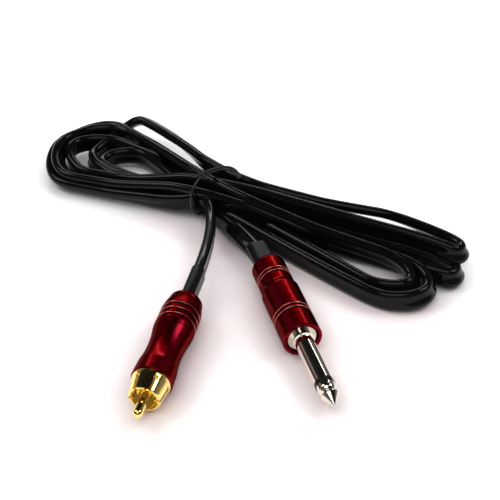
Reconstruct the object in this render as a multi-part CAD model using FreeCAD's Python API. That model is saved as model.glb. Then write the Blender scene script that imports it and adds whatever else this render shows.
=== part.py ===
import FreeCAD, Part
import math
import os

# Bundled audio lead: a phono plug and a 6.35 mm jack plug on one flat twin cord.
# Millimetres, +Z up. The origin lies on the surface, midway between the outer
# limits of the two plugs. Each plug is drawn along its own x axis, from the end
# of its tip towards its cord, and is then laid on the surface.

# Cord: two round lobes side by side
CORD_WIDTH = 7.2
CORD_THICKNESS = 3.7
SHRINK_WALL = 0.4
SHRINK_GAP = 0.05
CORE_RADIUS = 0.7

# Running fits and clearances
THREAD_GAP = 0.08
LINER_GAP = 0.08
INNER_GAP = 0.03
CLEAR = 0.3

# Jack plug: tip end, shaft and body
JACK_SHAFT_RADIUS = 3.175
JACK_NOSE_RADIUS = 0.6
JACK_CONE_END = 3.8
JACK_CONE_RADIUS = 2.95
JACK_CONE_LAND = 0.4
JACK_NECK_RADIUS = 1.85
JACK_NECK_RUN = 0.9
JACK_BALL_RADIUS = 3.0
JACK_BALL_LAND = 1.2
JACK_BALL_SWELL = 0.42
JACK_TIP_LENGTH = 8.5
JACK_RING_LENGTH = 1.6
JACK_SHAFT_LENGTH = 30.4
JACK_ROD_RADIUS = 1.2
JACK_TUBE_WALL = 0.6
JACK_BOSS_RADIUS = 3.8
JACK_BOSS_LENGTH = 1.9
JACK_FLANGE_RADIUS = 5.05
JACK_FLANGE_SETBACK = 0.7
JACK_FLANGE_LENGTH = 1.2
JACK_THREAD_RADIUS = 5.37
JACK_THREAD_LENGTH = 5.6
JACK_WASHER_RADIUS = 3.4
JACK_WASHER_LENGTH = 1.0
JACK_RIVET_RADIUS = 1.6
JACK_RIVET_LENGTH = 0.5
JACK_LUG_RADIUS = 2.6
JACK_LUG_LENGTH = 7.5
JACK_LUG_WIDTH = 2.8
JACK_LUG_THICKNESS = 0.5
JACK_LUG_TOP = 2.3

# Jack plug: screwed barrel, measured back from its front rim
JACK_BARREL_LENGTH = 39.2
JACK_BARREL_RADIUS = 6.65
JACK_REAR_RADIUS = 6.05
JACK_STEP_START = 23.2
JACK_STEP_LENGTH = 2.6
JACK_REAR_ROUND = 2.2
JACK_END_RADIUS = 4.5
JACK_RING_GROOVES = (9.0, 10.8, 29.4, 31.0)
JACK_BORE_RADIUS = 4.9

# Phono plug: pin, shell and body
PHONO_PIN_RADIUS = 1.59
PHONO_PIN_FREE = 7.3
PHONO_STEM_RADIUS = 1.2
PHONO_CUP_LENGTH = 4.5
PHONO_CUP_RADIUS = 1.5
PHONO_CUP_BORE = 0.75
PHONO_CUP_DEPTH = 2.8
PHONO_CUP_NOTCH = 0.4
PHONO_SHELL_RADIUS = 5.2
PHONO_SHELL_REAR_RADIUS = 6.1
PHONO_SHELL_BORE = 4.3
PHONO_SHELL_REAR_BORE = 5.0
PHONO_SHELL_GRIP = 1.5
PHONO_CAVITY_DEPTH = 5.9
PHONO_SLOTS = 6
PHONO_SLOT_WIDTH = 0.7
PHONO_SLOT_LENGTH = 5.0
PHONO_SLOT_HOLE = 0.8
PHONO_SLOT_TURN = 26.0
PHONO_FLANGE_RADIUS = 6.3
PHONO_FLANGE_LENGTH = 0.8
PHONO_INSULATOR_RADIUS = 3.87
PHONO_INSULATOR_RECESS = 0.6
PHONO_THREAD_RADIUS = 5.27
PHONO_THREAD_LENGTH = 7.0

# Phono plug: screwed barrel, measured back from its front rim
PHONO_RIM = 14.5
PHONO_BARREL_LENGTH = 38.0
PHONO_LIP_RADIUS = 6.75
PHONO_LIP_LENGTH = 5.9
PHONO_LIP_REAR_RADIUS = 6.5
PHONO_WAIST_AT = 13.6
PHONO_WAIST_RADIUS = 5.85
PHONO_RIDGE_AT = 21.2
PHONO_RIDGE_RADIUS = 6.62
PHONO_GRIP_RADIUS = 6.78
PHONO_GRIP_START = 23.2
PHONO_GRIP_END = 31.4
PHONO_GRIP_GROOVES = (25.0, 27.6, 30.2)
PHONO_TAIL_RADIUS = 5.75
PHONO_TAIL_AT = 36.2
PHONO_END_RADIUS = 5.0
PHONO_BORE_RADIUS = 4.95

# Both barrels
THREAD_BORE_SPARE = 0.9
SEAT_GAP = 0.02
GROOVE_HALF_WIDTH = 0.38
JACK_GROOVE_DEPTH = 0.3
PHONO_GROOVE_DEPTH = 0.5
REAR_WALL = 2.5
CORD_HOLE_RADIUS = 4.3
LINER_WALL = 0.4
LINER_SETBACK = 1.6
RIM_BEVEL = 0.25

# Cord clamp inside each plug
CLAMP_INNER_RADIUS = 3.7
CLAMP_WALL = 0.5
CLAMP_STRIP_ANGLE = 100.0
CLAMP_EAR_ANGLE = 236.0
CLAMP_EAR_LENGTH = 4.5
JACK_CLAMP_LENGTH = 19.0
PHONO_CLAMP_LENGTH = 17.5
CORE_BEND = 2.6
CORE_STRAIGHT = 1.8
GROUND_CORE_RUN = 8.0
SOLDER_RADIUS = 1.15

# Heat-shrink that shows behind each barrel
JACK_SHRINK_SHOWN = 12.0
PHONO_SHRINK_SHOWN = 15.5

# Where the plugs lie: end of the tip, heading of the axis and its rise
JACK_TIP_AT = (30.45, -37.2)
JACK_HEADING = 106.2
JACK_RISE = 1.6
PHONO_TIP_AT = (-28.85, -42.1)
PHONO_HEADING = 76.0
PHONO_RISE = 2.9

# Leads, from their plug to the hank
JACK_LEAD = ((3.7, 52.4, 8.0), (-1.7, 62.4, 8.6), (-5.7, 71.6, 9.2))
JACK_LEAD_TURN = 20.0
PHONO_LEAD = ((-10.7, 34.1, 8.8), (-9.0, 54.1, 7.8), (-10.9, 69.6, 9.2))
PHONO_LEAD_TURN = 20.0
LEAD_RUN_SHARE = 0.45

# Hank: middle of the tie, heading of the hank and its outlines about that middle
HANK_AT = (-9.5, 73.9)
HANK_HEADING = -31.6
HANK_HEIGHT = 14.6
HANK_EDGE = 3.0
WAIST_RADIUS = 8.6
WAIST_HALF = 14.0
WAIST_END_RADIUS = 6.4
WAIST_GAP_HALF = 5.0
WAIST_SWELL = 0.5
HANK_OUTLINE = (
    (0, -8), (-18, -11.5), (-36, -16.5), (-52, -21), (-67, -18.5), (-76, -6), (-74.5, 9),
    (-68, 20.5), (-58, 28), (-43, 27.5), (-20, 19.5), (0, 9), (22, 12.5), (44, 18.5), (64, 24.5),
    (82, 23.5), (97, 17.5), (100.5, 8), (97, -4), (95, -14), (84, -20), (66, -21), (44, -17),
    (20, -11),
)
LEFT_GAP = ((-17, 1), (-36, -4.5), (-50, -5.5), (-56, 0), (-52, 7), (-36, 8))
FRONT_GAP = ((36, -7.5), (54, -11.5), (72, -13.5), (82, -12), (74, -8), (54, -5.5))

# Tie: a thin covered wire round the hank, twisted at the top
TIE_WIRE_RADIUS = 0.55
TIE_GAP = 0.2
TIE_FLOOR = 0.05
TIE_BOW_RISE = 0.35
TIE_BOW = (
    (-8.0, -2.2), (-1.5, -0.4), (4.5, 2.6), (10.0, 3.4), (11.5, -0.4), (7.0, -2.6), (0.5, -1.0),
)

X_AXIS = FreeCAD.Vector(1, 0, 0)
Z_AXIS = FreeCAD.Vector(0, 0, 1)


def vec(point):
    return FreeCAD.Vector(*point)


def closed_outline(start, steps):
    """Wire in the x-radius plane; a step is a point, or the middle and end of an arc."""
    edges = []
    here = start
    for step in steps:
        end = step[-2:]
        a, b = FreeCAD.Vector(here[0], 0, here[1]), FreeCAD.Vector(end[0], 0, end[1])
        if len(step) == 4:
            middle = FreeCAD.Vector(step[0], 0, step[1])
            edges.append(Part.Arc(a, middle, b).toShape())
        else:
            edges.append(Part.LineSegment(a, b).toShape())
        here = end
    first, last = FreeCAD.Vector(start[0], 0, start[1]), FreeCAD.Vector(here[0], 0, here[1])
    edges.append(Part.LineSegment(last, first).toShape())
    return Part.Wire(edges)


def turned(start, *steps):
    """Solid of revolution about the plug's axis."""
    face = Part.Face(closed_outline(start, steps))
    return face.revolve(FreeCAD.Vector(), X_AXIS, 360)


def sleeve(x0, x1, inner, outer):
    return turned((x0, inner), (x0, outer), (x1, outer), (x1, inner))


def sector(x0, x1, inner, outer, angle):
    """Part of a sleeve that opens upwards; its middle is at the bottom."""
    low = FreeCAD.Vector(x0, 0, -inner)
    wire = Part.makePolygon([
        low, FreeCAD.Vector(x0, 0, -outer), FreeCAD.Vector(x1, 0, -outer),
        FreeCAD.Vector(x1, 0, -inner), low,
    ])
    face = Part.Face(wire)
    face.rotate(FreeCAD.Vector(), X_AXIS, -angle / 2)
    return face.revolve(FreeCAD.Vector(), X_AXIS, angle)


def groove(at, radius, depth):
    """Ring with a V section, to be cut into a barrel."""
    reach = radius + GROOVE_HALF_WIDTH
    half = GROOVE_HALF_WIDTH * (depth + GROOVE_HALF_WIDTH) / depth
    return turned((at, radius - depth), (at - half, reach), (at + half, reach))


def route_wire(points):
    """Straight runs joined by tangent arcs, each as large as its two runs allow."""
    points = [vec(p) for p in points]
    edges, radii = [], []
    here = points[0]
    for before, corner, after in zip(points, points[1:], points[2:]):
        back, ahead = before - corner, after - corner
        reach = LEAD_RUN_SHARE * min(back.Length, ahead.Length)
        back.normalize()
        ahead.normalize()
        half_turn = (math.pi - back.getAngle(ahead)) / 2
        radius = reach / math.tan(half_turn)
        middle_way = (back + ahead).normalize()
        start, end = corner + back * reach, corner + ahead * reach
        middle = corner + middle_way * (radius / math.cos(half_turn) - radius)
        edges.append(Part.LineSegment(here, start).toShape())
        edges.append(Part.Arc(start, middle, end).toShape())
        radii.append(round(radius, 1))
        here = end
    edges.append(Part.LineSegment(here, points[-1]).toShape())
    return Part.Wire(edges), radii


def flat_section(at, way, width, thickness, on_edge):
    """Rounded flat section across the way; its width stands up or lies flat."""
    radius = thickness / 2
    reach = (width - thickness) / 2
    side = Z_AXIS.cross(way).normalize()
    up = way.cross(side).normalize()
    along, across = (up, side) if on_edge else (side, up)

    def corner(i, j):
        return at + along * (reach * i) + across * (radius * j)

    ends = [at + along * (reach + radius), at - along * (reach + radius)]
    return Part.Wire([
        Part.LineSegment(corner(-1, 1), corner(1, 1)).toShape(),
        Part.Arc(corner(1, 1), ends[0], corner(1, -1)).toShape(),
        Part.LineSegment(corner(1, -1), corner(-1, -1)).toShape(),
        Part.Arc(corner(-1, -1), ends[1], corner(-1, 1)).toShape(),
    ])


def swept(path, section):
    pipe = Part.BRepOffsetAPI.MakePipeShell(path)
    pipe.setBiNormalMode(Z_AXIS)
    pipe.add(section)
    pipe.build()
    pipe.makeSolid()
    return pipe.shape()


def wire_tube(points, radius):
    """Round wire along runs and arcs, for the cores and the tie."""
    path, radii = route_wire(points)
    start, way = vec(points[0]), vec(points[1]) - vec(points[0])
    ring = Part.Wire(Part.makeCircle(radius, start, way))
    return path.makePipeShell([ring], True, False)


def flat_cord(points, width, thickness, on_edge):
    path, radii = route_wire(points)
    start, way = vec(points[0]), vec(points[1]) - vec(points[0])
    way.normalize()
    return swept(path, flat_section(start, way, width, thickness, on_edge)), path, radii


# Jack plug

def jack_back_face():
    return (JACK_SHAFT_LENGTH + JACK_FLANGE_SETBACK + JACK_FLANGE_LENGTH + JACK_THREAD_LENGTH
            + 2 * RIM_BEVEL)


def jack_tip():
    land = JACK_CONE_END + JACK_CONE_LAND
    neck = land + JACK_NECK_RUN
    ball = JACK_TIP_LENGTH - JACK_BALL_LAND
    rivet = jack_back_face() + JACK_WASHER_LENGTH + JACK_LUG_THICKNESS
    end = rivet + JACK_RIVET_LENGTH
    nose = JACK_NOSE_RADIUS
    return turned(
        (0, 0), (0.18 * nose, 0.65 * nose, nose, nose),
        (JACK_CONE_END, JACK_CONE_RADIUS), (land, JACK_CONE_RADIUS), (neck, JACK_NECK_RADIUS),
        ((neck + ball) / 2, (JACK_NECK_RADIUS + JACK_BALL_RADIUS) / 2 + JACK_BALL_SWELL,
         ball, JACK_BALL_RADIUS),
        (JACK_TIP_LENGTH, JACK_BALL_RADIUS), (JACK_TIP_LENGTH, JACK_ROD_RADIUS),
        (rivet, JACK_ROD_RADIUS), (rivet, JACK_RIVET_RADIUS),
        (end, JACK_RIVET_RADIUS - RIM_BEVEL), (end, 0),
    )


def jack_tip_insulator():
    front, shoulder = JACK_TIP_LENGTH, JACK_TIP_LENGTH + JACK_RING_LENGTH
    inner = JACK_ROD_RADIUS + INNER_GAP
    tube = inner + JACK_TUBE_WALL
    return turned(
        (front, inner), (front, JACK_SHAFT_RADIUS), (shoulder, JACK_SHAFT_RADIUS),
        (shoulder, tube), (jack_back_face(), tube), (jack_back_face(), inner),
    )


def jack_sleeve():
    front = JACK_TIP_LENGTH + JACK_RING_LENGTH
    flange = JACK_SHAFT_LENGTH + JACK_FLANGE_SETBACK
    boss = flange - JACK_BOSS_LENGTH
    thread = flange + JACK_FLANGE_LENGTH + 2 * RIM_BEVEL
    back = jack_back_face()
    bore = JACK_ROD_RADIUS + JACK_TUBE_WALL + 2 * INNER_GAP
    relief = JACK_THREAD_RADIUS - 0.7
    return turned(
        (front, bore), (front, JACK_SHAFT_RADIUS), (boss, JACK_SHAFT_RADIUS),
        (boss + RIM_BEVEL, JACK_BOSS_RADIUS), (flange, JACK_BOSS_RADIUS),
        (flange, JACK_FLANGE_RADIUS - RIM_BEVEL), (flange + RIM_BEVEL, JACK_FLANGE_RADIUS),
        (flange + JACK_FLANGE_LENGTH, JACK_FLANGE_RADIUS), (flange + JACK_FLANGE_LENGTH, relief),
        (thread, relief), (thread, JACK_THREAD_RADIUS), (back - RIM_BEVEL, JACK_THREAD_RADIUS),
        (back, JACK_THREAD_RADIUS - RIM_BEVEL), (back, bore),
    )


def jack_rear_washer():
    back = jack_back_face()
    return sleeve(back, back + JACK_WASHER_LENGTH, JACK_ROD_RADIUS + INNER_GAP, JACK_WASHER_RADIUS)


def jack_tip_lug():
    front = jack_back_face() + JACK_WASHER_LENGTH
    under = JACK_LUG_TOP - JACK_LUG_THICKNESS
    ring = sleeve(front, front + JACK_LUG_THICKNESS, JACK_ROD_RADIUS + INNER_GAP, JACK_LUG_RADIUS)
    strip = Part.makeBox(JACK_LUG_LENGTH, JACK_LUG_WIDTH, JACK_LUG_THICKNESS,
                         FreeCAD.Vector(front, -JACK_LUG_WIDTH / 2, under))
    hole_at = FreeCAD.Vector(front + 0.4 * JACK_LUG_LENGTH, 0, 0)
    hole = Part.makeCylinder(JACK_LUG_WIDTH / 4, JACK_LUG_RADIUS, hole_at)
    return ring.fuse(strip).cut(hole).removeSplitter()


def cord_clamp(front, length):
    """Strip along the bottom of the plug, with two ears that close round the cord."""
    outer = CLAMP_INNER_RADIUS + CLAMP_WALL
    strip = sector(front, front + length, CLAMP_INNER_RADIUS, outer, CLAMP_STRIP_ANGLE)
    ears = sector(front + length - CLAMP_EAR_LENGTH, front + length, CLAMP_INNER_RADIUS, outer,
                  CLAMP_EAR_ANGLE)
    return strip.fuse(ears).removeSplitter()


def jack_cord_start():
    return jack_back_face() + JACK_CLAMP_LENGTH - CLAMP_EAR_LENGTH


def liner(front, back, bore):
    outer = bore - LINER_GAP
    return sleeve(front, back, outer - LINER_WALL, outer)


def jack_liner():
    front = jack_back_face() + LINER_SETBACK
    back = JACK_SHAFT_LENGTH + JACK_BARREL_LENGTH - REAR_WALL - LINER_GAP
    return liner(front, back, JACK_BORE_RADIUS)


def jack_barrel():
    rim = JACK_SHAFT_LENGTH
    end = rim + JACK_BARREL_LENGTH
    step = rim + JACK_STEP_START
    thread_bore = JACK_THREAD_RADIUS + THREAD_GAP
    seat = jack_back_face() + SEAT_GAP
    bore_end = end - REAR_WALL
    half, drop = JACK_STEP_LENGTH / 2, (JACK_BARREL_RADIUS - JACK_REAR_RADIUS) / 2
    bend = (half ** 2 + drop ** 2) / (2 * drop)
    sag = bend - math.sqrt(bend ** 2 - (half / 2) ** 2)
    bow = 1 - math.sqrt(0.5)
    shape = turned(
        (rim, thread_bore + RIM_BEVEL), (rim, JACK_BARREL_RADIUS - RIM_BEVEL),
        (rim + RIM_BEVEL, JACK_BARREL_RADIUS), (step, JACK_BARREL_RADIUS),
        (step + half / 2, JACK_BARREL_RADIUS - sag, step + half, JACK_BARREL_RADIUS - drop),
        (step + 1.5 * half, JACK_REAR_RADIUS + sag, step + 2 * half, JACK_REAR_RADIUS),
        (end - JACK_REAR_ROUND, JACK_REAR_RADIUS),
        (end - bow * JACK_REAR_ROUND,
         JACK_REAR_RADIUS - bow * (JACK_REAR_RADIUS - JACK_END_RADIUS), end, JACK_END_RADIUS),
        (end, CORD_HOLE_RADIUS), (bore_end, CORD_HOLE_RADIUS), (bore_end, JACK_BORE_RADIUS),
        (seat, JACK_BORE_RADIUS), (seat, thread_bore), (rim + RIM_BEVEL, thread_bore),
    )
    for at in JACK_RING_GROOVES:
        radius = JACK_BARREL_RADIUS if at < JACK_STEP_START else JACK_REAR_RADIUS
        shape = shape.cut(groove(rim + at, radius, JACK_GROOVE_DEPTH))
    return shape


def lobes(on_edge):
    """Middles of the cord's two lobes, across the plug's axis."""
    reach = (CORD_WIDTH - CORD_THICKNESS) / 2
    return (0, reach) if on_edge else (reach, 0)


def core(start, lobe, end, height):
    """Insulated core from one lobe of the cord to what it is soldered to."""
    y, z = lobe
    return wire_tube([
        (start, y, z), (start - CORE_STRAIGHT, y, z), (end + CORE_BEND, 0, height),
        (end, 0, height),
    ], CORE_RADIUS)


def ground_core(start, on_edge):
    y, z = lobes(on_edge)
    height = -(CLAMP_INNER_RADIUS - CORE_RADIUS - INNER_GAP)
    return core(start, (-y, -z), start - GROUND_CORE_RUN, height)


def ground_solder(start, wire):
    """Joint between the ground core and the clamp's strip."""
    end = start - GROUND_CORE_RUN
    ball = Part.makeSphere(SOLDER_RADIUS, FreeCAD.Vector(end, 0, -CLAMP_INNER_RADIUS + CORE_RADIUS))
    strip = Part.makeCylinder(CLAMP_INNER_RADIUS, 4 * SOLDER_RADIUS,
                              FreeCAD.Vector(end - 2 * SOLDER_RADIUS, 0, 0), X_AXIS)
    return ball.common(strip).cut(wire)


def jack_lug_end():
    return jack_back_face() + JACK_WASHER_LENGTH + JACK_LUG_LENGTH


def jack_signal_core():
    height = JACK_LUG_TOP + CORE_RADIUS + INNER_GAP
    return core(jack_cord_start(), lobes(False), jack_lug_end() - 2 * CORE_RADIUS, height)


def jack_solder_joints():
    at = FreeCAD.Vector(jack_lug_end() - 2 * CORE_RADIUS, 0, JACK_LUG_TOP)
    dome = Part.makeSphere(SOLDER_RADIUS, at, Z_AXIS, 0, 90, 360).cut(jack_signal_core())
    low = ground_solder(jack_cord_start(), ground_core(jack_cord_start(), False))
    return Part.makeCompound([dome, low])


# Phono plug

def phono_back_face():
    return PHONO_RIM + PHONO_THREAD_LENGTH


def phono_cavity_end():
    return PHONO_PIN_FREE + PHONO_CAVITY_DEPTH


def phono_insulator_end():
    return phono_back_face() - PHONO_INSULATOR_RECESS


def phono_cup_end():
    return phono_insulator_end() + SEAT_GAP + PHONO_CUP_LENGTH


def phono_pin():
    nose = PHONO_PIN_RADIUS * 0.9
    shoulder = phono_cavity_end() - SEAT_GAP
    cup_end = phono_cup_end()
    cup_start = cup_end - PHONO_CUP_LENGTH
    pin = turned(
        (0, 0), (nose * 0.28, PHONO_PIN_RADIUS * 0.7, nose, PHONO_PIN_RADIUS),
        (shoulder, PHONO_PIN_RADIUS), (shoulder, PHONO_STEM_RADIUS),
        (cup_start, PHONO_STEM_RADIUS), (cup_start, PHONO_CUP_RADIUS),
        (cup_end, PHONO_CUP_RADIUS), (cup_end, 0),
    )
    cup = Part.makeCylinder(PHONO_CUP_BORE, PHONO_CUP_DEPTH,
                            FreeCAD.Vector(cup_end - PHONO_CUP_DEPTH, 0, 0), X_AXIS)
    notch = Part.makeBox(PHONO_CUP_DEPTH, 2 * PHONO_CUP_RADIUS, PHONO_CUP_RADIUS,
                         FreeCAD.Vector(cup_end - PHONO_CUP_DEPTH, -PHONO_CUP_RADIUS,
                                        PHONO_CUP_NOTCH))
    return pin.cut(cup).cut(notch)


def phono_signal_core():
    end = phono_cup_end() - PHONO_CUP_DEPTH + INNER_GAP
    return core(phono_cord_start(), lobes(True), end, 0)


def phono_solder_joints():
    middle = phono_cup_end() - PHONO_CUP_DEPTH / 2
    at = FreeCAD.Vector(middle, 0, PHONO_CUP_NOTCH + INNER_GAP)
    dome = Part.makeSphere(SOLDER_RADIUS, at, Z_AXIS, 0, 90, 360).cut(phono_signal_core())
    low = ground_solder(phono_cord_start(), ground_core(phono_cord_start(), True))
    return Part.makeCompound([dome, low])


def phono_pin_insulator():
    front, back = phono_cavity_end(), phono_insulator_end()
    return sleeve(front, back, PHONO_STEM_RADIUS + INNER_GAP, PHONO_INSULATOR_RADIUS)


def phono_shell():
    front = PHONO_PIN_FREE
    cavity = phono_cavity_end()
    flange = PHONO_RIM - PHONO_FLANGE_LENGTH
    back = phono_back_face()
    bore = PHONO_INSULATOR_RADIUS + INNER_GAP
    shell = turned(
        (front, PHONO_SHELL_BORE), (front, PHONO_SHELL_RADIUS - RIM_BEVEL),
        (front + RIM_BEVEL, PHONO_SHELL_RADIUS), (flange, PHONO_SHELL_REAR_RADIUS),
        (flange, PHONO_FLANGE_RADIUS - RIM_BEVEL), (flange + RIM_BEVEL, PHONO_FLANGE_RADIUS),
        (PHONO_RIM, PHONO_FLANGE_RADIUS), (PHONO_RIM, PHONO_THREAD_RADIUS),
        (back - RIM_BEVEL, PHONO_THREAD_RADIUS), (back, PHONO_THREAD_RADIUS - RIM_BEVEL),
        (back, bore), (cavity, bore), (cavity, PHONO_SHELL_REAR_BORE),
        (front + PHONO_SHELL_GRIP, PHONO_SHELL_BORE),
    )
    half = PHONO_SLOT_WIDTH / 2
    slot = Part.makeBox(PHONO_SLOT_LENGTH + 1, PHONO_SLOT_WIDTH, 4,
                        FreeCAD.Vector(front - 1, -half, PHONO_SHELL_BORE - 1))
    hole = Part.makeCylinder(PHONO_SLOT_HOLE, 4,
                             FreeCAD.Vector(front + PHONO_SLOT_LENGTH, 0, PHONO_SHELL_BORE - 1))
    cutter = slot.fuse(hole)
    for turn in range(PHONO_SLOTS):
        one = cutter.copy()
        one.rotate(FreeCAD.Vector(), X_AXIS, PHONO_SLOT_TURN + 360 / PHONO_SLOTS * turn)
        shell = shell.cut(one)
    return shell


def phono_cord_start():
    return phono_back_face() + PHONO_CLAMP_LENGTH - CLAMP_EAR_LENGTH


def phono_liner():
    front = phono_back_face() + LINER_SETBACK
    back = PHONO_RIM + PHONO_BARREL_LENGTH - REAR_WALL - LINER_GAP
    return liner(front, back, PHONO_BORE_RADIUS)


def phono_barrel():
    rim = PHONO_RIM + SEAT_GAP
    end = PHONO_RIM + PHONO_BARREL_LENGTH
    thread_bore = PHONO_THREAD_RADIUS + THREAD_GAP
    thread_end = phono_back_face() + THREAD_BORE_SPARE
    bore_end = end - REAR_WALL
    lip_end = rim + PHONO_LIP_LENGTH
    ridge = rim + PHONO_RIDGE_AT
    grip_start, grip_end = rim + PHONO_GRIP_START, rim + PHONO_GRIP_END
    tail = rim + PHONO_TAIL_AT
    waist = rim + PHONO_WAIST_AT
    shape = turned(
        (rim, thread_bore), (rim, PHONO_LIP_RADIUS - RIM_BEVEL),
        (rim + RIM_BEVEL, PHONO_LIP_RADIUS), (lip_end, PHONO_LIP_REAR_RADIUS),
        (waist, PHONO_WAIST_RADIUS, ridge, PHONO_RIDGE_RADIUS),
        (grip_start, PHONO_GRIP_RADIUS), (grip_end, PHONO_GRIP_RADIUS),
        ((grip_end + tail) / 2, (PHONO_GRIP_RADIUS + PHONO_TAIL_RADIUS) / 2 + 0.12,
         tail, PHONO_TAIL_RADIUS),
        ((tail + end) / 2 + 0.35, (PHONO_TAIL_RADIUS + PHONO_END_RADIUS) / 2 + 0.18,
         end, PHONO_END_RADIUS),
        (end, CORD_HOLE_RADIUS), (bore_end, CORD_HOLE_RADIUS), (bore_end, PHONO_BORE_RADIUS),
        (thread_end, PHONO_BORE_RADIUS), (thread_end, thread_bore),
    )
    for at in PHONO_GRIP_GROOVES:
        shape = shape.cut(groove(rim + at, PHONO_GRIP_RADIUS, PHONO_GROOVE_DEPTH))
    return shape


# Hank and tie

def smooth_loop(points):
    curve = Part.BSplineCurve()
    curve.interpolate(Points=[FreeCAD.Vector(x, y, 0) for x, y in points], PeriodicFlag=True)
    return Part.Wire(curve.toShape())


def waist_centre():
    return TIE_FLOOR + 2 * TIE_WIRE_RADIUS + TIE_GAP + WAIST_RADIUS


def cord_hank():
    """Outer shape of the turns: two flat loops drawn into a round waist."""
    face = Part.Face([smooth_loop(HANK_OUTLINE), smooth_loop(LEFT_GAP), smooth_loop(FRONT_GAP)])
    face.validate()
    plate = face.extrude(Z_AXIS * HANK_HEIGHT)
    plate = plate.makeFillet(HANK_EDGE, [edge for edge in plate.Edges if len(edge.Vertexes) == 1])
    gap = Part.makeBox(2 * WAIST_GAP_HALF, 4 * WAIST_RADIUS, 2 * HANK_HEIGHT,
                       FreeCAD.Vector(-WAIST_GAP_HALF, -2 * WAIST_RADIUS, -HANK_HEIGHT / 2))
    swell = (WAIST_END_RADIUS + WAIST_RADIUS) / 2 + WAIST_SWELL
    waist = turned(
        (-WAIST_HALF, 0), (-WAIST_HALF, WAIST_END_RADIUS),
        (-WAIST_HALF / 2, swell, -TIE_WIRE_RADIUS, WAIST_RADIUS), (TIE_WIRE_RADIUS, WAIST_RADIUS),
        (WAIST_HALF / 2, swell, WAIST_HALF, WAIST_END_RADIUS), (WAIST_HALF, 0),
    )
    waist.translate(FreeCAD.Vector(0, 0, waist_centre()))
    return plate.cut(gap).fuse(waist).removeSplitter()


def cable_tie():
    ring_radius = WAIST_RADIUS + TIE_GAP + TIE_WIRE_RADIUS
    middle = FreeCAD.Vector(0, 0, waist_centre())
    ring = Part.makeTorus(ring_radius, TIE_WIRE_RADIUS, middle, X_AXIS)
    height = waist_centre() + ring_radius + TIE_BOW_RISE
    bow = wire_tube([(x, y, height) for x, y in TIE_BOW], TIE_WIRE_RADIUS)
    return ring.fuse(bow)


# Laying the pieces out

def turned_plug(shape, heading, rise):
    shape = shape.copy()
    shape.rotate(FreeCAD.Vector(), FreeCAD.Vector(0, 1, 0), -rise)
    shape.rotate(FreeCAD.Vector(), Z_AXIS, heading)
    return shape


def plug_height(barrel, heading, rise):
    """Height of the tip's end when the barrel's rim rests on the surface."""
    return -turned_plug(barrel, heading, rise).optimalBoundingBox(False).ZMin


def on_axis(tip, heading, rise, along):
    flat = math.cos(math.radians(rise)) * along
    turn = math.radians(heading)
    return (tip[0] + flat * math.cos(turn), tip[1] + flat * math.sin(turn),
            tip[2] + math.sin(math.radians(rise)) * along)


def lead(tip, heading, rise, start, turn, points, on_edge, shown_end, hank):
    """Cord from inside the plug to the hank, and the heat-shrink at its start."""
    first = on_axis(tip, heading, rise, start)
    second = on_axis(tip, heading, rise, start + turn)
    route = [first, second] + list(points)
    cord, path, radii = flat_cord(route, CORD_WIDTH, CORD_THICKNESS, on_edge)
    outer = 2 * (SHRINK_WALL + SHRINK_GAP)
    thick = flat_cord(route, CORD_WIDTH + outer, CORD_THICKNESS + outer, on_edge)[0]
    inner = 2 * SHRINK_GAP
    hollow = flat_cord(route, CORD_WIDTH + inner, CORD_THICKNESS + inner, on_edge)[0]
    shrink_start = start + CLAMP_EAR_LENGTH + CLEAR
    reach = Part.makeCylinder(2 * CORD_WIDTH, shown_end - shrink_start,
                              FreeCAD.Vector(shrink_start, 0, 0), X_AXIS)
    reach = turned_plug(reach, heading, rise)
    reach.translate(vec(tip))
    shrink = thick.cut(hollow).common(reach)
    section = CORD_THICKNESS * (CORD_WIDTH - CORD_THICKNESS) + math.pi * CORD_THICKNESS ** 2 / 4
    print("radii", radii, "length", round(path.Length, 1),
          "volume over section times length", round(cord.Volume / section / path.Length, 4))
    return cord.cut(hank), shrink


def hank_placed(shape):
    shape = shape.copy()
    shape.rotate(FreeCAD.Vector(), Z_AXIS, HANK_HEADING)
    shape.translate(FreeCAD.Vector(HANK_AT[0], HANK_AT[1], 0))
    return shape


def jack_pieces():
    pieces = {
        "jack_tip": jack_tip(),
        "jack_tip_insulator": jack_tip_insulator(),
        "jack_sleeve": jack_sleeve(),
        "jack_rear_washer": jack_rear_washer(),
        "jack_tip_lug": jack_tip_lug(),
        "jack_ground_clamp": cord_clamp(jack_back_face(), JACK_CLAMP_LENGTH),
        "jack_signal_core": jack_signal_core(),
        "jack_ground_core": ground_core(jack_cord_start(), False),
        "jack_solder_joints": jack_solder_joints(),
        "jack_liner": jack_liner(),
        "jack_barrel": jack_barrel(),
    }
    height = plug_height(pieces["jack_barrel"], JACK_HEADING, JACK_RISE)
    return JACK_TIP_AT + (height,), JACK_HEADING, JACK_RISE, pieces


def phono_pieces():
    pieces = {
        "phono_pin": phono_pin(),
        "phono_pin_insulator": phono_pin_insulator(),
        "phono_shell": phono_shell(),
        "phono_ground_clamp": cord_clamp(phono_back_face(), PHONO_CLAMP_LENGTH),
        "phono_signal_core": phono_signal_core(),
        "phono_ground_core": ground_core(phono_cord_start(), True),
        "phono_solder_joints": phono_solder_joints(),
        "phono_liner": phono_liner(),
        "phono_barrel": phono_barrel(),
    }
    height = plug_height(pieces["phono_barrel"], PHONO_HEADING, PHONO_RISE)
    return PHONO_TIP_AT + (height,), PHONO_HEADING, PHONO_RISE, pieces


def laid(tip, heading, rise, pieces):
    nodes = {}
    for name, shape in pieces.items():
        shape = turned_plug(shape, heading, rise)
        shape.translate(vec(tip))
        nodes[name] = shape
    print("tip at", [round(c, 3) for c in tip],
          "way back", [round(c, 5) for c in on_axis((0, 0, 0), heading, rise, 1)])
    return nodes


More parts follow.
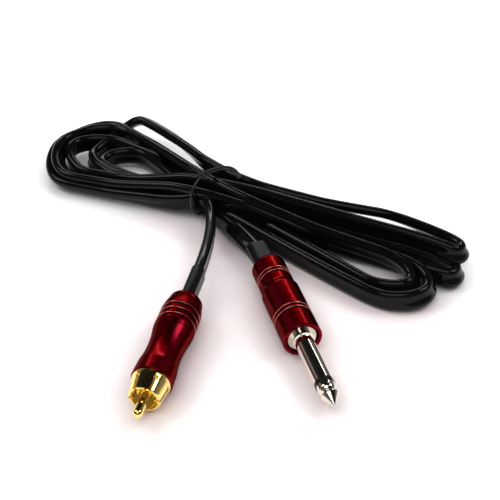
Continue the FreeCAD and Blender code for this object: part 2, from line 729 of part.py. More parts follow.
def build():
    hank = hank_placed(cord_hank())
    nodes = {"cord_hank": hank, "cable_tie": hank_placed(cable_tie())}
    tip, heading, rise, pieces = jack_pieces()
    nodes.update(laid(tip, heading, rise, pieces))
    nodes["cord_lead_jack"], nodes["jack_heat_shrink"] = lead(
        tip, heading, rise, jack_cord_start(), JACK_LEAD_TURN, JACK_LEAD, False,
        JACK_SHAFT_LENGTH + JACK_BARREL_LENGTH + JACK_SHRINK_SHOWN, hank)
    tip, heading, rise, pieces = phono_pieces()
    nodes.update(laid(tip, heading, rise, pieces))
    nodes["cord_lead_phono"], nodes["phono_heat_shrink"] = lead(
        tip, heading, rise, phono_cord_start(), PHONO_LEAD_TURN, PHONO_LEAD, True,
        PHONO_RIM + PHONO_BARREL_LENGTH + PHONO_SHRINK_SHOWN, hank)
    return nodes


def main():
    os.makedirs("parts", exist_ok=True)
    for name, shape in build().items():
        if not shape.isValid():
            print("not valid:", name)
        print(name, len(shape.Solids), round(shape.Volume, 1))
        shape.exportStep("parts/" + name + ".step")


main()
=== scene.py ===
import math

import bpy
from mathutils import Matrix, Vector


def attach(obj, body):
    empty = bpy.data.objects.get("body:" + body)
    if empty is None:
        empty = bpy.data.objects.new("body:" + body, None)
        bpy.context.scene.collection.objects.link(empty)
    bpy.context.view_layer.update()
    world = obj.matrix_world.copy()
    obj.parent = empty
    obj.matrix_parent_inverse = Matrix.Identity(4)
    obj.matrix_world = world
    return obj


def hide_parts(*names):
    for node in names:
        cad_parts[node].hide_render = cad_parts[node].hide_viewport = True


# Bundled audio lead: a phono plug and a jack plug on one flat twin cord.
# The object's lengths are written in millimetres, and MM makes them metres. Heights in the
# finishes, the floor and the lamps are in metres. Leans are in degrees.

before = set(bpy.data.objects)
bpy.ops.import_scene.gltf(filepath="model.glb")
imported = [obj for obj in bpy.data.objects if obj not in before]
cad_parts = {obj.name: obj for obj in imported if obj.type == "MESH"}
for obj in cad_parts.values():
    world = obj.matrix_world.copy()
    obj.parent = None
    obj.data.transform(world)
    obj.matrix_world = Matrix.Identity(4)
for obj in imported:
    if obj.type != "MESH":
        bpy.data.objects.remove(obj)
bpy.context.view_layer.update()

MM = 0.001
FULL_TURN = 2 * math.pi

# Where the plugs lie, as in the part's source: the tip, the way from it to the barrel, and
# the turn that lays the X axis along that way
JACK_TIP = (30.45, -37.2, 5.792)
JACK_BACK = (-0.27888, 0.95992, 0.02792)
JACK_TURN = (0.0, math.radians(-1.6), math.radians(106.2))
PHONO_TIP = (-28.85, -42.1, 5.994)
PHONO_BACK = (0.24161, 0.96905, 0.05059)
PHONO_TURN = (0.0, math.radians(-2.9), math.radians(76.0))

# Cord's start behind each plug's tip, its straight stretch there, and its points between
# plug and hank, in its order from the phono plug to the jack plug. The jack lead's leans
# end with those of its two points in the plug.
JACK_CORD_START = 52.9
PHONO_CORD_START = 34.5
LEAD_STRAIGHT = 20.0
PHONO_LEAD = ((-10.7, 34.1, 8.8), (-9.0, 54.1, 7.8), (-10.9, 69.6, 9.2))
JACK_LEAD = ((-8.9, 66.3, 4.2), (-3.1, 59.4, 4.3), (2.0, 50.6, 5.2))
JACK_LEANS = (0.0, 20.0, 55.0, 90.0, 90.0)

# Cord's section: two round lobes side by side, with a groove between them
CORD_WIDTH = 7.2
CORD_THICKNESS = 3.7
CORD_GROOVE = 0.5
CORD_GROOVE_HALF = 0.9
CORD_SIDES = 24
CORD_EDGE_POWER = 0.8
ROUTE_STEPS = 8

# Hank: middle of the tie and heading of the hank
HANK_AT = (-9.5, 73.9)
HANK_HEADING = math.radians(-31.6)

# Places in the waist: across the hank, and height
WAIST = {
    "phono": (-7.8, 6.2), "jack": (-4.3, 4.0), "front low": (-1.6, 4.2),
    "middle low": (2.6, 4.3), "back low": (6.0, 4.3), "rear low": (9.4, 5.0),
    "front high": (-5.2, 11.2), "middle high": (-1.6, 12.3), "back high": (2.0, 12.4),
    "rear high": (5.6, 11.8),
}

# Half turns to the left and right in the cord's order. Each strand has its place in the
# waist, how far across it bulges, its height there, how far along the reach that is, the
# share of its bulge that it has half-way there, and its lean there from standing on edge.
# Each end has its reach, its place across the hank, height and lean.
LEFT, RIGHT = -1, 1
TURNS = (
    (LEFT, ("phono", -18.0, 3.2, 0.82, 0.40, 52), (73.6, 0.0, 6.4, 30),
     ("middle high", 19.8, 9.8, 0.82, 0.62, -15)),
    (RIGHT, ("middle high", -0.6, 8.4, 0.86, 0.50, -10), (87.0, -8.0, 6.0, -30),
     ("middle low", -14.2, 4.4, 0.86, 0.48, 0)),
    (LEFT, ("middle low", -5.0, 3.9, 0.74, 0.42, 0), (59.6, 4.0, 5.2, -10),
     ("rear high", 28.6, 11.2, 0.92, 0.66, -55)),
    (RIGHT, ("rear high", 20.8, 10.4, 0.68, 0.46, -54), (96.0, 14.0, 9.4, -25),
     ("back high", 9.6, 11.6, 0.86, 0.50, 0)),
    (LEFT, ("back high", -9.4, 3.9, 0.82, 0.42, 10), (68.0, 1.0, 7.2, 0),
     ("rear low", 13.2, 7.0, 0.80, 0.56, 0)),
    (RIGHT, ("rear low", 13.0, 4.2, 0.86, 0.40, 0), (97.4, 7.4, 4.2, -25),
     ("front high", 2.6, 4.8, 0.88, 0.48, 0)),
    (LEFT, ("front high", -15.9, 5.9, 0.82, 0.40, 52), (71.6, 0.0, 8.4, 20),
     ("back low", 18.4, 9.4, 0.82, 0.62, -10)),
    (RIGHT, ("back low", 1.0, 6.4, 0.90, 0.50, 0), (93.0, -7.6, 4.8, -25),
     ("front low", -18.8, 3.9, 0.86, 0.56, 0)),
    (LEFT, ("front low", -2.6, 3.9, 0.78, 0.42, 0), (53.0, 2.0, 4.8, 0),
     ("jack", 12.0, 6.0, 0.78, 0.52, 0)),
)

# Steering points of a strand: shares of the way to its bulge, the shoulder's shares of the
# way from the bulge to the end, half the gap between the two strands at the end, and how
# soon a strand settles at its own height and lean
STRAND_SHARES = (0.18, 0.40, 0.62, 0.83, 1.0)
SHOULDER_ALONG = 0.62
SHOULDER_ACROSS = 0.36
SHOULDER_HEIGHT = 0.4
SHOULDER_LEAN = 0.5
END_HALF = 3.0
SETTLING = 1.4


def mixed(first, second, share):
    """Value that lies at the share of the way from the first to the second."""
    return first * (1 - share) + second * share


def eased(share):
    """Share that starts and ends gently."""
    share = min(max(share, 0.0), 1.0)
    return share * share * (3 - 2 * share)


def signed_power(value, power):
    return math.copysign(abs(value) ** power, value)


def hank_point(along, across, height):
    """Place in the scene of a point that is measured along and across the hank."""
    cosine, sine = math.cos(HANK_HEADING), math.sin(HANK_HEADING)
    return (HANK_AT[0] + along * cosine - across * sine,
            HANK_AT[1] + along * sine + across * cosine, height)


def strand(side, shape, end, beside):
    """Steering points of one strand, from the waist to the middle of the half turn's end:
    along, across, height and lean."""
    place, width, height, peak, belly, lean = shape
    reach, tip, end_height, end_lean = end
    across, start_height = WAIST[place]
    points = []
    for share in STRAND_SHARES:
        # An arch that has the belly's share half-way, and all of the bulge at its end
        bulge = share + 4 * (belly - 0.5) * share * (1 - share)
        settled = eased(SETTLING * share)
        points.append((side * share * peak * reach, mixed(across, width, bulge),
                       mixed(start_height, height, settled), lean * settled))
    tip += beside
    points.append((side * mixed(peak, 1.0, SHOULDER_ALONG) * reach,
                   mixed(width, tip, SHOULDER_ACROSS),
                   mixed(height, end_height, SHOULDER_HEIGHT),
                   mixed(lean, end_lean, SHOULDER_LEAN)))
    points.append((side * reach, tip, end_height, end_lean))
    return points


def half_turn(side, first, end, second):
    return (strand(side, first, end, side * END_HALF)
            + strand(side, second, end, -side * END_HALF)[::-1])


def on_axis(tip, back, along):
    return tuple(t + along * b for t, b in zip(tip, back))


def cord_route():
    """Steering points from inside the phono plug to inside the jack plug, in metres, and
    the cord's lean at each, in degrees from standing on edge."""
    phono = [on_axis(PHONO_TIP, PHONO_BACK, PHONO_CORD_START + x) for x in (0, LEAD_STRAIGHT)]
    jack = [on_axis(JACK_TIP, JACK_BACK, JACK_CORD_START + x) for x in (LEAD_STRAIGHT, 0)]
    route = phono + list(PHONO_LEAD)
    leans = [0.0] * len(route)
    for side, *shape in TURNS:
        for along, across, height, lean in half_turn(side, *shape):
            route.append(hank_point(along, across, height))
            leans.append(lean)
    route += list(JACK_LEAD) + jack
    leans += JACK_LEANS
    return [tuple(MM * c for c in point) for point in route], leans


def smooth_line(name, points, steps):
    """Points along the smooth line that the route's points steer."""
    data = bpy.data.curves.new(name, "CURVE")
    data.dimensions = "3D"
    spline = data.splines.new("NURBS")
    spline.points.add(len(points) - 1)
    for point, place in zip(spline.points, points):
        point.co = (*place, 1.0)
    spline.order_u = 3
    spline.use_endpoint_u = True
    spline.resolution_u = steps
    data.resolution_u = steps
    curve = bpy.data.objects.new(name, data)
    bpy.context.collection.objects.link(curve)
    bpy.context.view_layer.update()
    smoothed = curve.evaluated_get(bpy.context.evaluated_depsgraph_get())
    line = bpy.data.meshes.new_from_object(smoothed)
    places = [Vector(v.co) for v in line.vertices]
    bpy.data.objects.remove(curve)
    bpy.data.meshes.remove(line)
    return places


def cord_section():
    """Outline of the twin cord in metres: width first, thickness second."""
    lobe = CORD_THICKNESS / 2
    reach = (CORD_WIDTH - CORD_THICKNESS) / 2
    outline = []
    for i in range(CORD_SIDES):
        turn = FULL_TURN * (i + 0.5) / CORD_SIDES
        wide = (reach + lobe) * signed_power(math.cos(turn), CORD_EDGE_POWER)
        beyond = max(0.0, abs(wide) - reach)
        thick = math.sqrt(max(0.0, lobe ** 2 - beyond ** 2))
        thick -= CORD_GROOVE * math.exp(-(wide / CORD_GROOVE_HALF) ** 2)
        outline.append((wide * MM, math.copysign(thick, math.sin(turn)) * MM))
    return outline


def leans_along(leans, count):
    """The lean at each of the line's points, in radians. The line has two spans fewer than
    it has steering points, and they meet half-way between those points."""
    along = []
    for i in range(count):
        at = i / (count - 1) * (len(leans) - 2) + 0.5
        first = min(int(at), len(leans) - 2)
        along.append(math.radians(mixed(leans[first], leans[first + 1], at - first)))
    return along


def flat_tube(name, line, section, leans):
    """Closed tube whose section stands on edge, apart from its lean."""
    verts, faces = [], []
    sides = len(section)
    up = Vector((0, 0, 1))
    for i, place in enumerate(line):
        way = (line[min(i + 1, len(line) - 1)] - line[max(i - 1, 0)]).normalized()
        side = up.cross(way).normalized()
        rise = way.cross(side)
        wide = rise * math.cos(leans[i]) + side * math.sin(leans[i])
        thick = way.cross(wide)
        verts += [place + wide * w + thick * t for w, t in section]
    for i in range(len(line) - 1):
        for k in range(sides):
            a, b = i * sides + k, i * sides + (k + 1) % sides
            faces.append((a, a + sides, b + sides, b))
    faces.append(tuple(range(sides)))
    last = (len(line) - 1) * sides
    faces.append(tuple(range(last + sides - 1, last - 1, -1)))
    mesh = bpy.data.meshes.new(name)
    mesh.from_pydata([tuple(v) for v in verts], [], faces)
    mesh.update()
    piece = bpy.data.objects.new(name, mesh)
    bpy.context.collection.objects.link(piece)
    for face in mesh.polygons:
        face.use_smooth = len(face.vertices) == 4
    return piece


# Camera: a long lens, looking down from the plugs' side
CAMERA_AT = (4.95, -275.8, 239.9)
CAMERA_DOWN = 36.4
CAMERA_LENS, CAMERA_SENSOR = 79.2, 36.0
CAMERA_NEAR = 10.0

camera_data = bpy.data.cameras.new("camera")
camera_data.lens = CAMERA_LENS
camera_data.sensor_width = CAMERA_SENSOR
camera_data.clip_start = CAMERA_NEAR * MM
camera = bpy.data.objects.new("camera", camera_data)
camera.location = [MM * c for c in CAMERA_AT]
camera.rotation_euler = (math.radians(90 - CAMERA_DOWN), 0.0, 0.0)
bpy.context.collection.objects.link(camera)
bpy.context.scene.camera = camera
bpy.context.scene.view_settings.view_transform = "Standard"


# Shader nodes that the finishes share

WHITE = (1, 1, 1)

# Range in which a noise's values mostly lie
NOISE_LOW, NOISE_HIGH = 0.3, 0.7


def new_finish(name, colour, roughness, metallic=0.0, coat=0.0):
    """Material with its shader's constants set, and its nodes to build on."""
    material = bpy.data.materials.new(name)
    material.use_nodes = True
    shader = material.node_tree.nodes["Principled BSDF"]
    shader.inputs["Base Color"].default_value = (*colour, 1.0)
    shader.inputs["Roughness"].default_value = roughness
    shader.inputs["Metallic"].default_value = metallic
    shader.inputs["Coat Weight"].default_value = coat
    return material, material.node_tree, shader


def place_on(tree, plug=None, scale=(1, 1, 1)):
    """The piece's own place, along the plug's axis where a plug is given."""
    place = tree.nodes.new("ShaderNodeTexCoord").outputs["Object"]
    if plug is not None:
        tip, turn = plug
        axis = tree.nodes.new("ShaderNodeMapping")
        axis.vector_type = "TEXTURE"
        axis.inputs["Location"].default_value = tuple(MM * c for c in tip)
        axis.inputs["Rotation"].default_value = turn
        tree.links.new(place, axis.inputs["Vector"])
        place = axis.outputs["Vector"]
    grid = tree.nodes.new("ShaderNodeMapping")
    grid.inputs["Scale"].default_value = scale
    tree.links.new(place, grid.inputs["Vector"])
    return grid.outputs["Vector"]


def mottle(tree, place, scale, detail):
    """Uneven pattern of values about a half."""
    noise = tree.nodes.new("ShaderNodeTexNoise")
    noise.inputs["Scale"].default_value = scale
    noise.inputs["Detail"].default_value = detail
    tree.links.new(place, noise.inputs["Vector"])
    return noise.outputs["Fac"]


def between(tree, value, low, high, from_low=NOISE_LOW, from_high=NOISE_HIGH):
    """Spreads the value's range over the one from low to high."""
    reach = tree.nodes.new("ShaderNodeMapRange")
    reach.inputs["From Min"].default_value = from_low
    reach.inputs["From Max"].default_value = from_high
    reach.inputs["To Min"].default_value = low
    reach.inputs["To Max"].default_value = high
    tree.links.new(value, reach.inputs["Value"])
    return reach.outputs["Result"]


def worked_out(tree, operation, *values):
    """Result of a sum on values that are numbers or other nodes' outputs."""
    node = tree.nodes.new("ShaderNodeMath")
    node.operation = operation
    for socket, value in zip(node.inputs, values):
        if isinstance(value, (int, float)):
            socket.default_value = value
        else:
            tree.links.new(value, socket)
    return node.outputs[0]


def tinted(tree, value, first, second):
    """Colour between the first, where the value is 0, and the second, where it is 1."""
    mix = tree.nodes.new("ShaderNodeMix")
    mix.data_type = "RGBA"
    mix.inputs["A"].default_value = (*first, 1.0)
    mix.inputs["B"].default_value = (*second, 1.0)
    tree.links.new(value, mix.inputs["Factor"])
    return mix.outputs["Result"]


def banded(tree, shader, value, colour):
    """Paints the colour over the shader's own where the value is 1."""
    own = shader.inputs["Base Color"].links[0].from_socket
    mix = tree.nodes.new("ShaderNodeMix")
    mix.data_type = "RGBA"
    mix.inputs["B"].default_value = (*colour, 1.0)
    tree.links.new(own, mix.inputs["A"])
    tree.links.new(value, mix.inputs["Factor"])
    tree.links.new(mix.outputs["Result"], shader.inputs["Base Color"])


def raised(tree, shader, value, height, strength, under=None):
    """Raises the surface where the value is high, on top of the normal under it."""
    bump = tree.nodes.new("ShaderNodeBump")
    bump.inputs["Distance"].default_value = height
    bump.inputs["Strength"].default_value = strength
    tree.links.new(value, bump.inputs["Height"])
    if under is not None:
        tree.links.new(under, bump.inputs["Normal"])
    tree.links.new(bump.outputs["Normal"], shader.inputs["Normal"])
    return bump.outputs["Normal"]


def parts_of(tree, place):
    """X, Y and Z of a place or a way. X is along the axis where a plug is given."""
    split = tree.nodes.new("ShaderNodeSeparateXYZ")
    tree.links.new(place, split.inputs["Vector"])
    return split.outputs["X"], split.outputs["Y"], split.outputs["Z"]


def distance_from(tree, place, middle):
    """How far a place is from the middle, in metres."""
    away = tree.nodes.new("ShaderNodeVectorMath")
    away.operation = "DISTANCE"
    away.inputs[1].default_value = middle
    tree.links.new(place, away.inputs[0])
    return away.outputs["Value"]


def near(tree, along, middles, reach):
    """1 within reach of the places along the plug's axis, and 0 elsewhere."""
    total = 0.0
    for middle in middles:
        here = worked_out(tree, "COMPARE", along, MM * middle, MM * reach)
        total = worked_out(tree, "MAXIMUM", here, total)
    return total


def dips(tree, along, middles, reach):
    """1 at the places along the plug's axis, falling smoothly to 0 at the reach."""
    total = 0.0
    for middle in middles:
        away = worked_out(tree, "ABSOLUTE", worked_out(tree, "SUBTRACT", along, MM * middle))
        here = between(tree, away, 1.0, 0.0, 0.0, MM * reach)
        here.node.interpolation_type = "SMOOTHSTEP"
        total = worked_out(tree, "MAXIMUM", here, total)
    return total


# Metal's rings from the turning tool and its handling marks, and plastic's grain and
# patches. The marks and the patches make a surface a little smoother or rougher.

TOOLING_DETAIL, TOOLING_HEIGHT, TOOLING_STRENGTH = 3.0, 0.00001, 0.05
MARK_SCALE, MARK_DETAIL = 260.0, 6.0
MARK_SMOOTH, MARK_ROUGH = 0.94, 1.07
GRAIN_DETAIL, GRAIN_STRENGTH = 5.0, 0.4
PATCH_SCALE, PATCH_DETAIL = 0.12, 3.0
PATCH_SMOOTH, PATCH_ROUGH = 0.85, 1.2

# Barrels' grooves and the threads under the barrels, measured back from the plug's tip
JACK_GROOVES = (39.4, 41.2, 59.8, 61.4)
PHONO_GROOVES = (39.5, 42.1, 44.7)
# Painted shade: a dark band at the bottom of each groove
GROOVE_REACH, GROOVE_SHADE_RED = 0.22, (0.045, 0.001, 0.003)
DIP_REACH, DIP_DEPTH = 0.75, 0.3
# Painted highlight: a pale band at each groove's rear edge, which catches the lamps
EDGE_AT, EDGE_REACH, EDGE_HIGHLIGHT_RED = 0.40, 0.11, (0.66, 0.24, 0.18)
JACK_THREAD = (32.4, 37.8)
PHONO_THREAD = (14.6, 21.4)
THREAD_PITCH = 0.75
THREAD_DEPTH = 0.1


def add_grooves(tree, shader, plug, grooves, under):
    """Dipped rings round a barrel: painted shade at the bottom, and a painted highlight at the
    rear edge.
    """
    along = parts_of(tree, place_on(tree, plug))[0]
    raised(tree, shader, dips(tree, along, grooves, DIP_REACH), -MM * DIP_DEPTH, 1.0, under)
    # Painted shade at the bottom of each groove
    banded(tree, shader, near(tree, along, grooves, GROOVE_REACH), GROOVE_SHADE_RED)
    # Painted highlight: a pale band at each groove's rear edge
    edges = [groove + EDGE_AT for groove in grooves]
    banded(tree, shader, near(tree, along, edges, EDGE_REACH), EDGE_HIGHLIGHT_RED)


def add_thread(tree, shader, plug, thread, under):
    """Screw thread between two places along the plug's axis."""
    start, end = thread
    along, aside, above = parts_of(tree, place_on(tree, plug))
    wound = worked_out(tree, "DIVIDE", along, MM * THREAD_PITCH)
    round_it = worked_out(tree, "DIVIDE", worked_out(tree, "ARCTAN2", above, aside), FULL_TURN)
    turns = worked_out(tree, "ADD", wound, round_it)
    wave = worked_out(tree, "SINE", worked_out(tree, "MULTIPLY", turns, FULL_TURN))
    here = near(tree, along, [(start + end) / 2], (end - start) / 2)
    raised(tree, shader, worked_out(tree, "MULTIPLY", wave, here), MM * THREAD_DEPTH, 1.0, under)


def metal_finish(name, colour, worn, plug, lines, roughness, edge=WHITE, coat=0.0,
                 grooves=(), thread=None):
    """Turned and plated or dyed metal: fine rings round the axis, and faint handling marks."""
    material, tree, shader = new_finish(name, colour, roughness, 1.0, coat)
    shader.inputs["Specular Tint"].default_value = (*edge, 1.0)
    rings = mottle(tree, place_on(tree, plug, (lines, 1, 1)), 1.0, TOOLING_DETAIL)
    marks = mottle(tree, place_on(tree, plug), MARK_SCALE, MARK_DETAIL)
    tree.links.new(between(tree, marks, roughness * MARK_SMOOTH, roughness * MARK_ROUGH),
                   shader.inputs["Roughness"])
    tree.links.new(tinted(tree, between(tree, marks, 0.0, 1.0), colour, worn),
                   shader.inputs["Base Color"])
    turned = raised(tree, shader, rings, TOOLING_HEIGHT, TOOLING_STRENGTH)
    if grooves:
        add_grooves(tree, shader, plug, grooves, turned)
    if thread:
        add_thread(tree, shader, plug, thread, turned)
    return material


def plastic_finish(name, colour, second, roughness, grain, height, gloss=0.5):
    """Moulded or drawn plastic: two close shades in patches, and a fine grain."""
    material, tree, shader = new_finish(name, colour, roughness)
    shader.inputs["Specular IOR Level"].default_value = gloss
    grains = mottle(tree, place_on(tree), grain, GRAIN_DETAIL)
    patches = mottle(tree, place_on(tree), grain * PATCH_SCALE, PATCH_DETAIL)
    tree.links.new(tinted(tree, between(tree, patches, 0.0, 1.0), colour, second),
                   shader.inputs["Base Color"])
    tree.links.new(between(tree, patches, roughness * PATCH_SMOOTH, roughness * PATCH_ROUGH),
                   shader.inputs["Roughness"])
    raised(tree, shader, grains, height, GRAIN_STRENGTH)
    return material


# Colours
RED, RED_DEEP, RED_EDGE = (0.21, 0.003, 0.012), (0.19, 0.003, 0.011), (0.26, 0.01, 0.028)
GOLD, GOLD_PALE = (1.0, 0.74, 0.22), (1.0, 0.80, 0.30)
NICKEL, NICKEL_DULL = (0.80, 0.745, 0.65), (0.74, 0.68, 0.59)
TIN, TIN_DULL = (0.66, 0.66, 0.64), (0.56, 0.56, 0.55)
SOLDER, SOLDER_DULL = (0.6, 0.6, 0.62), (0.5, 0.5, 0.53)
INSULATOR_BLACK, INSULATOR_GREY = (0.006, 0.006, 0.006), (0.010, 0.010, 0.010)
SHRINK_BLACK, SHRINK_GREY = (0.006, 0.006, 0.006), (0.011, 0.011, 0.011)
CREAM, CREAM_DARK = (0.80, 0.74, 0.60), (0.74, 0.68, 0.54)
FIBRE, FIBRE_DARK = (0.30, 0.13, 0.06), (0.22, 0.09, 0.04)
MILKY, MILKY_DARK = (0.78, 0.78, 0.76), (0.7, 0.7, 0.68)
CORE_WHITE, CORE_IVORY = (0.8, 0.8, 0.78), (0.74, 0.74, 0.7)
CORE_BLACK, CORE_GREY = (0.03, 0.03, 0.03), (0.04, 0.04, 0.04)
SHEATH_BLACK, SHEATH_GREY = (0.004, 0.004, 0.0043), (0.007, 0.007, 0.0075)
TIE_BLACK, TIE_GREY = (0.015, 0.015, 0.015), (0.022, 0.022, 0.022)

# Scales of the rings that a tool leaves on metal, and of the grain of smooth plastic
TURNED, PRESSED, SOLDERED = 4000, 900, 500
SMOOTH_GRAIN = 900

JACK = (JACK_TIP, JACK_TURN)
PHONO = (PHONO_TIP, PHONO_TURN)


def plug_finishes(name, plug):
    """Finishes of the pieces that both plugs have."""
    return {
        f"{name}_heat_shrink": plastic_finish(
            f"{name}_shrink", SHRINK_BLACK, SHRINK_GREY, roughness=0.28, grain=500,
            height=0.00005, gloss=0.12),
        f"{name}_liner": plastic_finish(
            f"{name}_milky_tube", MILKY, MILKY_DARK, roughness=0.35, grain=400, height=0.00003),
        f"{name}_signal_core": plastic_finish(
            f"{name}_white_core", CORE_WHITE, CORE_IVORY, roughness=0.35, grain=SMOOTH_GRAIN,
            height=0.00002),
        f"{name}_ground_core": plastic_finish(
            f"{name}_black_core", CORE_BLACK, CORE_GREY, roughness=0.35, grain=SMOOTH_GRAIN,
            height=0.00002),
        f"{name}_ground_clamp": metal_finish(
            f"{name}_tinned_clamp", TIN, TIN_DULL, plug, PRESSED, roughness=0.3),
        f"{name}_solder_joints": metal_finish(
            f"{name}_solder", SOLDER, SOLDER_DULL, plug, SOLDERED, roughness=0.2),
    }


def jack_finishes():
    """Finishes of the jack plug's own pieces."""
    return {
        "jack_barrel": metal_finish(
            "jack_red_anodised", RED, RED_DEEP, JACK, TURNED, roughness=0.25, edge=RED_EDGE,
            coat=0.08, grooves=JACK_GROOVES),
        "jack_tip": metal_finish(
            "jack_tip_nickel", NICKEL, NICKEL_DULL, JACK, TURNED, roughness=0.08),
        "jack_sleeve": metal_finish(
            "jack_shaft_nickel", NICKEL, NICKEL_DULL, JACK, TURNED, roughness=0.08,
            thread=JACK_THREAD),
        "jack_tip_lug": metal_finish(
            "jack_tinned_lug", TIN, TIN_DULL, JACK, PRESSED, roughness=0.3),
        "jack_tip_insulator": plastic_finish(
            "black_ring", INSULATOR_BLACK, INSULATOR_GREY, roughness=0.25, grain=SMOOTH_GRAIN,
            height=0.00001, gloss=0.25),
        "jack_rear_washer": plastic_finish(
            "fibre_washer", FIBRE, FIBRE_DARK, roughness=0.7, grain=1600, height=0.00005),
    }


def phono_finishes():
    """Finishes of the phono plug's own pieces."""
    return {
        "phono_barrel": metal_finish(
            "phono_red_anodised", RED, RED_DEEP, PHONO, TURNED, roughness=0.25, edge=RED_EDGE,
            coat=0.05, grooves=PHONO_GROOVES),
        "phono_shell": metal_finish(
            "phono_gold", GOLD, GOLD_PALE, PHONO, TURNED, roughness=0.09, thread=PHONO_THREAD),
        "phono_pin": metal_finish(
            "phono_pin_gold", GOLD, GOLD_PALE, PHONO, TURNED, roughness=0.09),
        "phono_pin_insulator": plastic_finish(
            "cream_insulator", CREAM, CREAM_DARK, roughness=0.45, grain=700, height=0.00003),
    }


finishes = {**jack_finishes(), **plug_finishes("jack", JACK),
            **phono_finishes(), **plug_finishes("phono", PHONO)}
for node, finish in finishes.items():
    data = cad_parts[node].data
    data.materials.clear()
    data.materials.append(finish)

# Cord
route, leans = cord_route()
line = smooth_line("cord_line", route, ROUTE_STEPS)
cord = flat_tube("cord", line, cord_section(), leans_along(leans, len(line)))
cord.data.materials.append(plastic_finish(
    "cord_sheath", SHEATH_BLACK, SHEATH_GREY, roughness=0.09, grain=SMOOTH_GRAIN,
    height=0.000002, gloss=0.16))
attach(cord, "lead")
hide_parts("cord_lead_jack", "cord_hank", "cord_lead_phono")

# Tie: a round wire, with a flattened ring about the waist and a bow twisted on top. The
# bow's points are along the hank, across it, and height.
TIE_RADIUS = 0.45
TIE_BEVEL_STEPS, TIE_STEPS = 3, 6
TIE_POINTS = 24
TIE_HALF_WIDTH = 9.9
TIE_HALF_HEIGHT = 8.7
TIE_MIDDLE = 9.4
TIE_POWER = 2.35
TIE_AT, TIE_SKEW = -1.5, 0.15
TIE_BOW = ((-3.8, -5.2, 17.8), (-2.1, -2.6, 18.5), (-0.9, -0.3, 19.0), (1.4, 2.4, 19.5),
           (4.1, 5.1, 19.6), (7.2, 5.5, 19.0), (9.9, 4.5, 17.6), (9.8, 3.2, 16.9),
           (8.2, 4.6, 18.2), (6.2, 4.4, 19.0), (4.0, 3.7, 19.3), (1.2, 1.1, 18.9),
           (-0.4, -1.6, 18.4))


def wire_piece(name, points, closed):
    """Round wire along points on the hank, as a mesh."""
    data = bpy.data.curves.new(name, "CURVE")
    data.dimensions = "3D"
    data.bevel_depth = TIE_RADIUS * MM
    data.bevel_resolution = TIE_BEVEL_STEPS
    data.use_fill_caps = True
    spline = data.splines.new("NURBS")
    spline.points.add(len(points) - 1)
    for point, place in zip(spline.points, points):
        point.co = (*(MM * c for c in hank_point(*place)), 1.0)
    spline.order_u = 3
    spline.use_cyclic_u = closed
    spline.use_endpoint_u = not closed
    spline.resolution_u = TIE_STEPS
    piece = bpy.data.objects.new(name, data)
    bpy.context.collection.objects.link(piece)
    bpy.ops.object.select_all(action="DESELECT")
    piece.select_set(True)
    bpy.context.view_layer.objects.active = piece
    bpy.ops.object.convert(target="MESH")
    return piece


def ring_points():
    """Flattened ring round the waist, a little askew."""
    points = []
    for i in range(TIE_POINTS):
        turn = FULL_TURN * i / TIE_POINTS
        across = TIE_HALF_WIDTH * signed_power(math.cos(turn), 2 / TIE_POWER)
        rise = TIE_HALF_HEIGHT * signed_power(math.sin(turn), 2 / TIE_POWER)
        points.append((TIE_AT + TIE_SKEW * across, across, TIE_MIDDLE + rise))
    return points


ring = wire_piece("tie_ring", ring_points(), True)
bow = wire_piece("tie_bow", TIE_BOW, False)
tie_finish = plastic_finish(
    "tie_cover", TIE_BLACK, TIE_GREY, roughness=0.35, grain=SMOOTH_GRAIN, height=0.00002)
for piece in (ring, bow):
    piece.data.materials.append(tie_finish)
    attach(piece, "lead")
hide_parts("cable_tie")

# Floor: it glows for the camera and in reflections, more in the distance. The glow is dimmed
# # where the floor is covered, as painted shade, and tinted red there around the plugs, as a
# # painted red bounce light from the barrels. Lengths here are in metres.
FLOOR_SIZE = 4.0
FLOOR_WHITE, FLOOR_ROUGHNESS, FLOOR_GLOSS = (0.86, 0.86, 0.86), 0.32, 0.35
NEAR_GLOW, FAR_GLOW = 0.70, 0.95
GLOW_NEAR_AT, GLOW_FAR_AT = 0.25, 1.0
SHADE_REACH, SHADE_POWER, SHADE_SAMPLES = 0.027, 2.1, 6
# Red of the painted bounce light around the plugs, where the floor is covered
PAINTED_BOUNCE_RED = (1.0, 0.45, 0.50)
PLUGS_MIDDLE = (0.0, 0.005, 0.0)
RED_FULL_AT, RED_GONE_AT = 0.045, 0.085


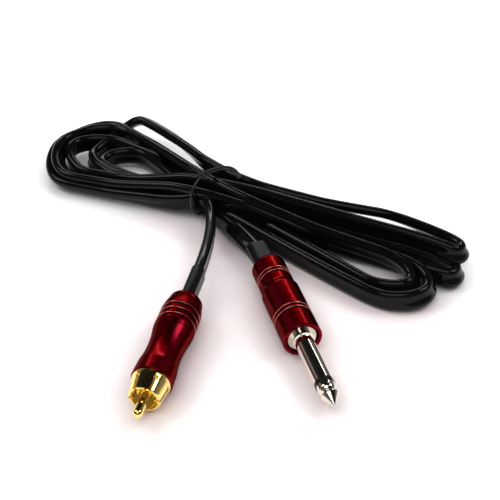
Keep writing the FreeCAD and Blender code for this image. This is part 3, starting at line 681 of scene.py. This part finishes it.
def floor_finish():
    """Pale table, whose glow is worked out from how open it is and where it lies: painted shade
    where it is covered, and a painted red bounce light there around the plugs.
    """
    material, tree, shader = new_finish("white_table", FLOOR_WHITE, FLOOR_ROUGHNESS)
    shader.inputs["Specular IOR Level"].default_value = FLOOR_GLOSS
    ray = tree.nodes.new("ShaderNodeLightPath").outputs
    seen = worked_out(tree, "MAXIMUM", ray["Is Camera Ray"], ray["Is Glossy Ray"])
    seen = worked_out(tree, "MAXIMUM", seen, ray["Is Transmission Ray"])
    # Painted shade: the glow is dimmed where the floor is covered
    covered = tree.nodes.new("ShaderNodeAmbientOcclusion")
    covered.samples = SHADE_SAMPLES
    covered.inputs["Distance"].default_value = SHADE_REACH
    open_share = worked_out(tree, "POWER", covered.outputs["AO"], SHADE_POWER)
    place = place_on(tree)
    glow = between(tree, distance_from(tree, place, (0, 0, 0)), NEAR_GLOW, FAR_GLOW,
                   GLOW_NEAR_AT, GLOW_FAR_AT)
    glow = worked_out(tree, "MULTIPLY", glow, open_share)
    # Painted red bounce light: the glow turns red where it is covered around the plugs
    off_plugs = between(tree, distance_from(tree, place, PLUGS_MIDDLE), 0.0, 1.0,
                        RED_FULL_AT, RED_GONE_AT)
    white_share = worked_out(tree, "MAXIMUM", open_share, off_plugs)
    tree.links.new(tinted(tree, white_share, PAINTED_BOUNCE_RED, WHITE), shader.inputs["Emission Color"])
    tree.links.new(worked_out(tree, "MULTIPLY", seen, glow), shader.inputs["Emission Strength"])
    return material


bpy.ops.object.select_all(action="DESELECT")
bpy.ops.mesh.primitive_plane_add(size=FLOOR_SIZE, location=(0, 0, 0))
floor = bpy.context.object
floor.name = "floor"
floor.data.materials.append(floor_finish())

# Lamps round the middle of the object: name, way to it, distance, width, height and power,
# in metres and watts
LIT_MIDDLE = (0.0, 0.04, 0.0)
LAMPS = (
    ("top_softbox", (-0.1, -0.5, 0.87), 1.0, 0.7, 0.7, 3.0),
    ("back_panel", (-0.09, 0.83, 0.49), 1.0, 0.72, 0.26, 0.75),
    ("back_strip", (0.03, 0.83, 0.62), 0.95, 0.8, 0.045, 1.0),
    ("right_softbox", (0.654, 0.139, 0.743), 1.0, 0.42, 0.42, 2.4),
    ("left_softbox", (-0.654, 0.139, 0.743), 1.0, 0.42, 0.42, 2.4),
)


def add_lamp(name, way, distance, width, height, power):
    """Oblong soft lamp that faces the middle of the object."""
    data = bpy.data.lights.new(name, "AREA")
    data.shape = "RECTANGLE"
    data.size, data.size_y = width, height
    data.energy = power
    lamp = bpy.data.objects.new(name, data)
    way = Vector(way).normalized()
    lamp.location = Vector(LIT_MIDDLE) + way * distance
    lamp.rotation_euler = way.to_track_quat("Z", "Y").to_euler()
    bpy.context.collection.objects.link(lamp)


for lamp in LAMPS:
    add_lamp(*lamp)

# Room: pale walls low down and a dark ceiling, and white where the camera sees it. Heights
# are the upward share of the way that is looked.
WALL_TOP, WALL_GREY = 0.34, (0.20, 0.20, 0.20)
CEILING_START, CEILING_GREY = 0.5, (0.01, 0.01, 0.01)


def add_room():
    """Walls and ceiling that light the object and show in its reflections."""
    world = bpy.data.worlds.new("studio")
    world.use_nodes = True
    bpy.context.scene.world = world
    tree = world.node_tree
    background = tree.nodes["Background"]
    way = tree.nodes.new("ShaderNodeTexCoord").outputs["Generated"]
    ramp = tree.nodes.new("ShaderNodeValToRGB")
    wall, ceiling = ramp.color_ramp.elements
    wall.position, wall.color = WALL_TOP, (*WALL_GREY, 1)
    ceiling.position, ceiling.color = CEILING_START, (*CEILING_GREY, 1)
    tree.links.new(parts_of(tree, way)[2], ramp.inputs["Fac"])
    seen = tree.nodes.new("ShaderNodeMix")
    seen.data_type = "RGBA"
    seen.inputs["B"].default_value = (*WHITE, 1)
    tree.links.new(tree.nodes.new("ShaderNodeLightPath").outputs["Is Camera Ray"],
                   seen.inputs["Factor"])
    tree.links.new(ramp.outputs["Color"], seen.inputs["A"])
    tree.links.new(seen.outputs["Result"], background.inputs["Color"])
    background.inputs["Strength"].default_value = 1.0


add_room()
